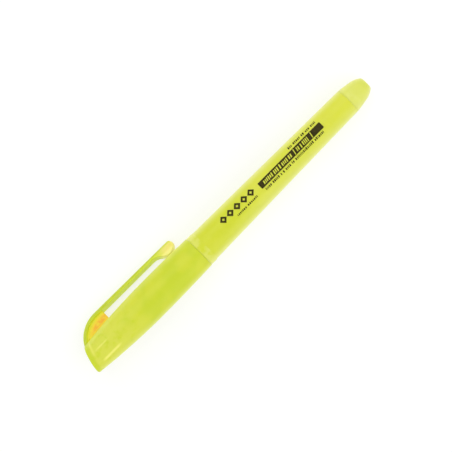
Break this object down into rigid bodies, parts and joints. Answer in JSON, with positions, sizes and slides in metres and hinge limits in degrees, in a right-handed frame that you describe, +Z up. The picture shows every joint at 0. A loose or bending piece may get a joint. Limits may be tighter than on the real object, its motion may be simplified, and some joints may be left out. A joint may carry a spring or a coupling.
{
  "type": "highlighter",
  "caption": "Capped stick highlighter with a slanted cap end, a pocket clip on a swept fin, a tapered barrel and a chisel nib inside.",
  "frame": {"origin": "on the table under the middle of the pen, which lies on the cap's belly, the clip's lower edge and the barrel's tail", "axes": "+X along the pen towards the tail, which is 1.2 degrees lower than the cap; +Y towards the side that the clip lies on; +Z up"},
  "size_m": [0.1379, 0.0175, 0.0137],
  "materials": {
    "cap_plastic": "translucent fluorescent yellow, glossy",
    "inner_cap_plastic": "natural, slightly yellow, satin",
    "holder_plastic": "fluorescent yellow, satin",
    "nib_fibre": "pressed fibre soaked in yellow ink",
    "barrel_plastic": "fluorescent yellow, glossy, slightly translucent",
    "reservoir_fibre": "bundled fibre soaked in yellow ink",
    "reservoir_film_plastic": "clear film tinted by the ink",
    "plug_plastic": "translucent fluorescent yellow, glossy"
  },
  "bodies": {
    "pen": {"barrel": "barrel_plastic", "nib_holder": "holder_plastic", "chisel_nib": "nib_fibre", "reservoir_core": "reservoir_fibre", "reservoir_film": "reservoir_film_plastic", "tail_plug": "plug_plastic"},
    "cap": {"cap_shell": "cap_plastic", "inner_cap": "inner_cap_plastic"},
    "clip": {"pocket_clip": "cap_plastic"}
  },
  "joints": [
    {"name": "cap_slide", "type": "slide", "parent": "pen", "child": "cap", "axis": [-0.9998, 0, 0.0201], "range_m": [0, 0.05]},
    {"name": "clip_flex", "type": "hinge", "parent": "cap", "child": "clip", "pos_m": [-0.0524, 0.00781, 0.00176], "axis": [0.0176, 0.4865, 0.8735], "range_deg": [0, 5], "stiffness_Nm_per_rad": 0.085}
  ]
}
